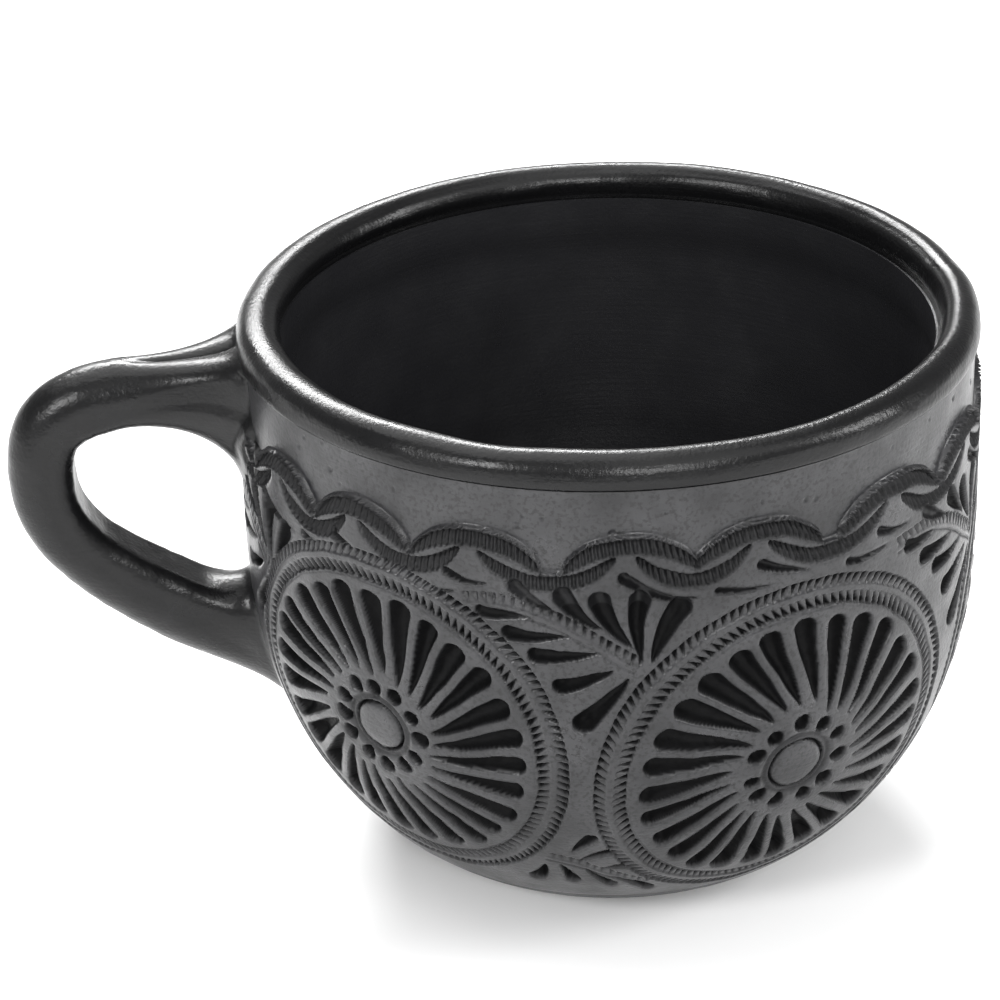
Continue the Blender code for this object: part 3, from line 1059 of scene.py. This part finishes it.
class Handle:
    """The pulled handle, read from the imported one, and the clay smeared round its two joins."""

    AROUND = 96                  # points of a cross-section
    ALONG = 260                  # stations along the middle line
    EYE = (-60.0, 52.0)          # a point in the finger gap, x and height
    SWELL_FROM = 0.55            # share of the length after which the lower arm thickens

    def __init__(self, form: CupForm) -> None:
        """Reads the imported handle's middle line."""
        self.form = form
        points = [v.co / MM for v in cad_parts["handle"].data.vertices]
        self.half = max(abs(p.y) for p in points)
        sides = {(round(p.x, 3), round(p.z, 3)) for p in points if abs(p.y) > self.half - 0.01}
        low, high = (Vector(c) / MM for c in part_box("handle"))
        hub = (high.x, 0.5 * (low.z + high.z))
        line = sorted(sides, key=lambda p: math.atan2(p[1] - hub[1], p[0] - hub[0]) % FULL_TURN)
        fine = rounded(line, 12)
        run = lengths(fine)
        even = np.linspace(0.0, run[-1], self.ALONG)
        self.line = np.column_stack([np.interp(even, run, fine[:, i]) for i in (0, 1)])
        tangent = np.gradient(self.line, axis=0)
        self.tangent = tangent / np.hypot(*tangent.T)[:, None]

    def ring(self, place: int) -> Array:
        """One cross-section: round outside, flatter with a firm edge inside.

        Args:
            place: which station along the middle line.

        Returns:
            The ring's points; the first is on the outer side.
        """
        turn = np.linspace(0.0, FULL_TURN, self.AROUND, endpoint=False)
        out, side = np.cos(turn), np.sin(turn)
        squarer = (np.abs(out) ** 3.4 + np.abs(side) ** 3.4) ** (-1.0 / 3.4)
        swell = np.where(out < 0.0, 1.0 + (squarer - 1.0) * smooth(-out / 0.5), 1.0)
        out, side = np.maximum(out * swell, -0.95), side * swell
        (x, z), (tx, tz) = self.line[place], self.tangent[place]
        nx, nz = -tz, tx
        if nx * (x - self.EYE[0]) + nz * (z - self.EYE[1]) < 0:
            nx, nz = -nx, -nz
        share = place / (self.ALONG - 1)
        run, around = np.full_like(turn, share * 90.0), FULL_TURN * self.half
        rough = 0.016 * unevenness(turn * self.half, run, 5.0, 51, around)
        rough += 0.008 * unevenness(turn * self.half, run, 1.9, 52, around)
        thick = smooth((share - self.SWELL_FROM) / 0.45)
        size = self.half * (0.975 + 0.20 * thick + rough - 0.01)
        reach = self.half * (0.975 + 0.10 * thick + rough - 0.01)
        return np.column_stack([x + size * out * nx, reach * side, z + size * out * nz])

    def bar(self, material: Material) -> Piece:
        """Sweeps the handle between its joins."""
        rings = [self.ring(i) for i in range(UPPER_JOIN.overlap, self.ALONG - LOWER_JOIN.overlap)]
        return new_piece("pulled_handle", swept(rings), material, ["handle"])

    def wall_point(self, angle: Array, height: Array, sunk: float) -> Array:
        """Points at azimuths and heights on the cup, a depth sunk below its face."""
        table = np.linspace(self.form.y_at(0.0), self.form.high, 900)
        radius, level, _, _ = self.form.body(table)
        face = np.interp(height, level, radius)
        neck = self.form.neck_depth * smooth((height - 65.4) / 1.2)
        return upright(angle, face - self.form.hand(angle, height) - neck - sunk, height)

    def join(self, join: Join, material: Material) -> Piece:
        """Smears clay from the handle's end out over the wall.

        Args:
            join: its sizes.
            material: its finish.

        Returns:
            The new piece.
        """
        start = join.overlap if join.upper else self.ALONG - 1 - join.overlap
        first = self.ring(start)
        lead = np.array([self.tangent[start][0], 0.0, self.tangent[start][1]])
        lead = lead * (-1 if join.upper else 1)
        lie = np.arctan2(first[:, 1], first[:, 2] - first[:, 2].mean())
        reach = np.where(np.cos(lie) > 0, join.top - join.middle, join.middle - join.bottom)
        height = join.middle + reach * np.sign(np.cos(lie)) * np.abs(np.cos(lie)) ** 0.85
        angle = math.pi - join.half_width * np.sin(lie) / self.form.belly
        foot = self.wall_point(angle, height, 0.32)
        middle = self.wall_point(np.array([math.pi]), np.array([join.middle]), 0.3)[0]
        spread = foot - middle
        spread /= np.maximum(np.linalg.norm(spread, axis=1), 0.1)[:, None]
        length = np.linalg.norm(foot - first, axis=1)[:, None]
        near, far = first + lead * join.stiff * length, foot - spread * join.fillet * length
        rings = []
        for t in np.linspace(0.0, 1.0, join.rows):
            point = (first * (1 - t)**3 + near * 3 * t * (1 - t)**2 + far * 3 * t**2 * (1 - t)
                     + foot * t**3)
            rings.append(self._pressed(point, lie, t, join))
        rings.append(foot - 0.9 * np.column_stack([np.cos(angle), np.sin(angle), 0 * angle]))
        return new_piece(join.name, swept(rings), material, [join.node])

    @staticmethod
    def _pressed(points: Array, lie: Array, t: float, join: Join) -> Array:
        """Presses the fingers' creases into the smeared clay, and leaves it a little uneven."""
        side = np.where(points[:, 1] < 0.0, -1.0, 1.0)
        beside = smooth((np.abs(np.sin(lie)) - 0.35) / 0.4) * smooth((0.55 - np.cos(lie)) / 0.4)
        away = smooth(min(t, 1.0 - t) / 0.1)
        press = 0.10 * unevenness(points[:, 1] + 40.0, points[:, 2], 3.0, 61) * away
        wander = 0.05 * unevenness(points[:, 2], 0.0 * points[:, 2], 4.0, 63)
        for at, deep, wide in join.creases:
            press = press + deep * beside * np.exp(-((t - at - wander) / wide) ** 2)
        return np.column_stack([points[:, 0] + 0.75 * press, points[:, 1] - 0.5 * press * side,
                                np.minimum(points[:, 2], join.ceiling)])


# ---------------------------------------------------------------- finishes
def linear(colour: str) -> tuple[float, float, float, float]:
    """Turns an sRGB colour written as "#rrggbb" into linear light with full opacity."""
    shares = [int(colour[i:i + 2], 16) / 255.0 for i in (1, 3, 5)]
    return (*(s / 12.92 if s <= 0.04045 else ((s + 0.055) / 1.055) ** 2.4 for s in shares), 1.0)


def add_node(tree: bpy.types.NodeTree, kind: str, inputs: dict | None = None,
             **settings) -> bpy.types.Node:
    """Adds one shader node.

    Args:
        tree: the material's node tree.
        kind: the node's type name, without "ShaderNode".
        inputs: values or output sockets, by the input's name or number.
        settings: the node's own properties.

    Returns:
        The node.
    """
    node = tree.nodes.new("ShaderNode" + kind)
    for name, value in settings.items():
        setattr(node, name, value)
    for key, value in (inputs or {}).items():
        socket = node.inputs[key]
        if isinstance(value, bpy.types.NodeSocket):
            tree.links.new(value, socket)
        else:
            socket.default_value = value
    return node


def empty_tree(owner: Material | bpy.types.World) -> bpy.types.NodeTree:
    """Clears a material's or a world's node tree, for new nodes."""
    owner.use_nodes = True
    owner.node_tree.nodes.clear()
    return owner.node_tree


class Sheen(Enum):
    """How the clay was finished before firing."""

    CARVED = "carved"
    BURNISHED = "burnished"
    SMOKED = "smoked"


@dataclass(frozen=True)
class ClayFinish:
    """One finish of the same black clay."""

    name: str
    sheen: Sheen                 # what was done to the clay
    land: str                    # colour of the rubbed surface
    shade: str                   # colour of its duller patches
    cut: str                     # colour of the worn grain, and on the carved wall the painted shade inside the cuts
    gloss: float                 # roughness of the rubbed surface
    matt: float                  # roughness of patches and cuts
    strokes: float               # strength of the fine burnishing strokes
    shine: float                 # strength of the mirror-like part of its reflection
    inside_shade: str = "#1f1f21"        # colour of the painted shade on the inside of the wall
    patch_size: float = 9.0      # clouds left by the smoke
    grain_size: float = 0.55     # coarsest sand in the clay
    stroke_scale: tuple[float, float, float] = (60.0, 60.0, 2200.0)   # per metre: long, level strokes
    relief: float = 0.11         # height of grain and strokes
    cut_shine: float = 0.12

    def build(self) -> Material:
        """Makes the material."""
        material = bpy.data.materials.new(self.name)
        add = partial(add_node, empty_tree(material))
        place = add("TexCoord").outputs["Object"]
        patches = add("TexNoise", {"Vector": place, "Scale": 1 / (self.patch_size * MM), "Detail": 5.0,
                                   "Roughness": 0.6}).outputs[0]
        grain = add("TexNoise", {"Vector": place, "Scale": 1 / (self.grain_size * MM),
                                 "Detail": 3.0}).outputs[0]
        flat = add("Mapping", {"Vector": place, "Scale": self.stroke_scale}).outputs[0]
        stroke = add("TexNoise", {"Vector": flat, "Scale": 1.0, "Detail": 2.0}).outputs[0]
        uneven = add("MapRange", {"Value": patches, "From Min": 0.35, "From Max": 0.68}).outputs[0]
        rough = add("MapRange", {"Value": patches, "From Min": 0.3, "From Max": 0.72,
                                 "To Min": self.gloss,
                                 "To Max": 0.5 * (self.gloss + self.matt)}).outputs[0]
        worn = add("MapRange", {"Value": grain, "From Min": 0.36, "From Max": 0.50, "To Min": 0.75,
                                "To Max": 0.0}).outputs[0]
        layers = [(uneven, self.shade), (worn, self.cut)]
        shine = self.shine
        # On the carved wall the cut value makes the cuts duller and less shiny, and blends in the cut
        # colour as painted shade in the hollows.
        if self.sheen is Sheen.CARVED:
            cut, inside_shade = (add("Attribute", attribute_name=name).outputs["Fac"]
                         for name in (CUT_AND_SHADE_NAME, INSIDE_SHADE_NAME))
            # The inside colour is a painted shade over the inner face of the wall.
            layers += [(cut, self.cut), (inside_shade, self.inside_shade)]
            rough, shine = (add("Mix", {0: cut, 2: own, 3: deep}, data_type="FLOAT").outputs[0]
                            for own, deep in ((rough, self.matt), (shine, self.cut_shine)))
        colour = linear(self.land)
        for mask, tone in layers:
            colour = add("Mix", {0: mask, 6: colour, 7: linear(tone)}, data_type="RGBA").outputs[2]
        height = add("Mix", {0: self.strokes, 2: grain, 3: stroke}, data_type="FLOAT").outputs[0]
        bump = add("Bump", {"Height": height, "Strength": 0.8, "Distance": self.relief * MM})
        clay = add("BsdfPrincipled", {"Base Color": colour, "Roughness": rough,
                                      "Normal": bump.outputs[0], "Specular IOR Level": shine,
                                      "IOR": 1.5})
        add("OutputMaterial", {"Surface": clay.outputs[0]})
        return material


# Carved wall: graphite-grey burnished lands over duller gouge floors, painted darker with their depth as
# shade, and a painted shade on its inside.
CARVED = ClayFinish("Carved black clay", Sheen.CARVED, "#333335", "#1b1b1d", "#0b0b0c",
                    0.25, 0.62, 0.4, 0.48)
# Rim, handle and joins: rubbed with quartz until they shine, darker where the smoke was thickest.
BURNISHED = ClayFinish("Burnished black clay", Sheen.BURNISHED, "#101011", "#0a0a0b", "#0a0a0b",
                       0.24, 0.50, 0.3, 0.30)
# Base, with the cup's floor and underside: only wiped smooth, so dull and sooty.
SMOKED = ClayFinish("Smoked black clay", Sheen.SMOKED, "#2e2e30", "#1c1c1e", "#1a1a1c",
                    0.42, 0.65, 0.3, 0.38)


# ---------------------------------------------------------------- studio
@dataclass(frozen=True)
class Lamp:
    """A soft box over the table."""

    place: tuple[float, float, float]   # where it hangs, in metres
    size: tuple[float, float]           # its side lengths, in metres
    power: float                        # watts


class Studio:
    """A pale table with a far bright wall, soft boxes and the camera. Lengths here are in metres."""

    LAMPS = (Lamp((-0.15, 0.70, 0.55), (0.55, 0.14), 10.0), Lamp((-0.60, -0.55, 0.50), (0.14, 0.25), 4.0),
             Lamp((0.80, -0.20, 0.45), (0.16, 0.40), 4.0), Lamp((0.10, -0.80, 0.45), (0.30, 0.16), 3.0))
    AIM = Vector((0.0, 0.0, 0.04))
    SUNS = ((1.5, (-14.0, -12.0)), (0.9, (30.0, 20.0)))      # strength, tilt in degrees
    SUN_SPREAD = math.radians(55.0)
    TABLE = "#fafafa"
    TABLE_REACH = 4.0
    SKY = "#ffffff"
    SKY_POWER = 0.30
    WALL_REACH, WALL_HEIGHT, WALL_POWER = 3.9, 1.6, 0.85
    PLACE = (-0.03813, -0.43583, 0.27706)
    TURN = (math.radians(-3.02), math.radians(62.46), math.radians(-1.907))
    LENS = 128.96                # millimetres
    FILM = 36.0

    def build(self) -> None:
        """Puts up everything round the cup."""
        self._table()
        self._backdrop()
        for number, lamp in enumerate(self.LAMPS):
            light = bpy.data.lights.new(f"soft_box_{number}", "AREA")
            light.shape = "RECTANGLE"
            light.size, light.size_y = lamp.size
            light.energy = lamp.power
            made = stand(light.name, light)
            made.location = lamp.place
            made.rotation_euler = (self.AIM - Vector(lamp.place)).to_track_quat("-Z", "Y").to_euler()
        for power, tilt in self.SUNS:
            sun = bpy.data.lights.new("ceiling", "SUN")
            sun.energy, sun.angle = power, self.SUN_SPREAD
            stand(sun.name, sun).rotation_euler = (math.radians(tilt[0]), math.radians(tilt[1]), 0.0)
        world = bpy.context.scene.world or bpy.data.worlds.new("Studio")
        bpy.context.scene.world = world
        bpy.context.scene.view_settings.view_transform = "Standard"
        tree = empty_tree(world)
        sky = add_node(tree, "Background", {"Color": linear(self.SKY), "Strength": self.SKY_POWER})
        add_node(tree, "OutputWorld", {"Surface": sky.outputs[0]})
        self._camera()

    @staticmethod
    def _sheet(name: str, shape: bmesh.types.BMesh, shader: str, inputs: dict) -> bpy.types.Object:
        """Stands a plain sheet of one shader round the cup.

        Args:
            name: the sheet's name.
            shape: its form.
            shader: the shader's node type.
            inputs: the shader's settings.

        Returns:
            The new object.
        """
        mesh = bpy.data.meshes.new(name)
        shape.to_mesh(mesh)
        shape.free()
        paper = bpy.data.materials.new(f"Paper {name}")
        tree = empty_tree(paper)
        add_node(tree, "OutputMaterial", {"Surface": add_node(tree, shader, inputs).outputs[0]})
        mesh.materials.append(paper)
        sheet = stand(name, mesh)
        return sheet

    def _table(self) -> None:
        """A plain pale floor."""
        shape = bmesh.new()
        bmesh.ops.create_grid(shape, x_segments=1, y_segments=1, size=self.TABLE_REACH)
        self._sheet("table", shape, "BsdfPrincipled", {"Base Color": linear(self.TABLE),
                                                       "Roughness": 0.6})

    def _backdrop(self) -> None:
        """A low far wall all round, so that a level view has no dark horizon. It lights nothing."""
        shape = bmesh.new()
        bmesh.ops.create_cone(shape, cap_ends=False, segments=96, radius1=self.WALL_REACH,
                              radius2=self.WALL_REACH, depth=self.WALL_HEIGHT)
        bmesh.ops.translate(shape, verts=shape.verts, vec=(0.0, 0.0, 0.5 * self.WALL_HEIGHT))
        wall = self._sheet("backdrop", shape, "Emission", {"Color": linear(self.SKY),
                                                           "Strength": self.WALL_POWER})
        wall.visible_diffuse = wall.visible_glossy = False
        wall.visible_transmission = wall.visible_shadow = False

    def _camera(self) -> None:
        """Sets the camera in front of the mug, looking down at it."""
        data = bpy.data.cameras.new("camera")
        data.lens, data.sensor_width = self.LENS, self.FILM
        data.clip_start, data.clip_end = 0.01, 20.0
        camera = stand("camera", data)
        spin, tilt, roll = (Matrix.Rotation(a, 4, axis) for a, axis in zip(self.TURN, "ZXZ"))
        camera.matrix_world = Matrix.Translation(self.PLACE) @ (spin @ tilt @ roll)
        bpy.context.scene.camera = camera


def main() -> None:
    """Builds the mug and its studio."""
    logging.basicConfig(level=logging.INFO)
    form = CupForm()
    carved, burnished, smoked = (finish.build() for finish in (CARVED, BURNISHED, SMOKED))
    wall = Wall(form, Carving(form))
    for number in range(wall.count):
        wall.panel(number, carved)
    turned = Turned(form)
    turned.base(smoked)
    turned.rim(burnished)
    handle = Handle(form)
    handle.bar(burnished)
    for join in (UPPER_JOIN, LOWER_JOIN):
        handle.join(join, burnished)
    Studio().build()


if __name__ == "__main__":
    main()
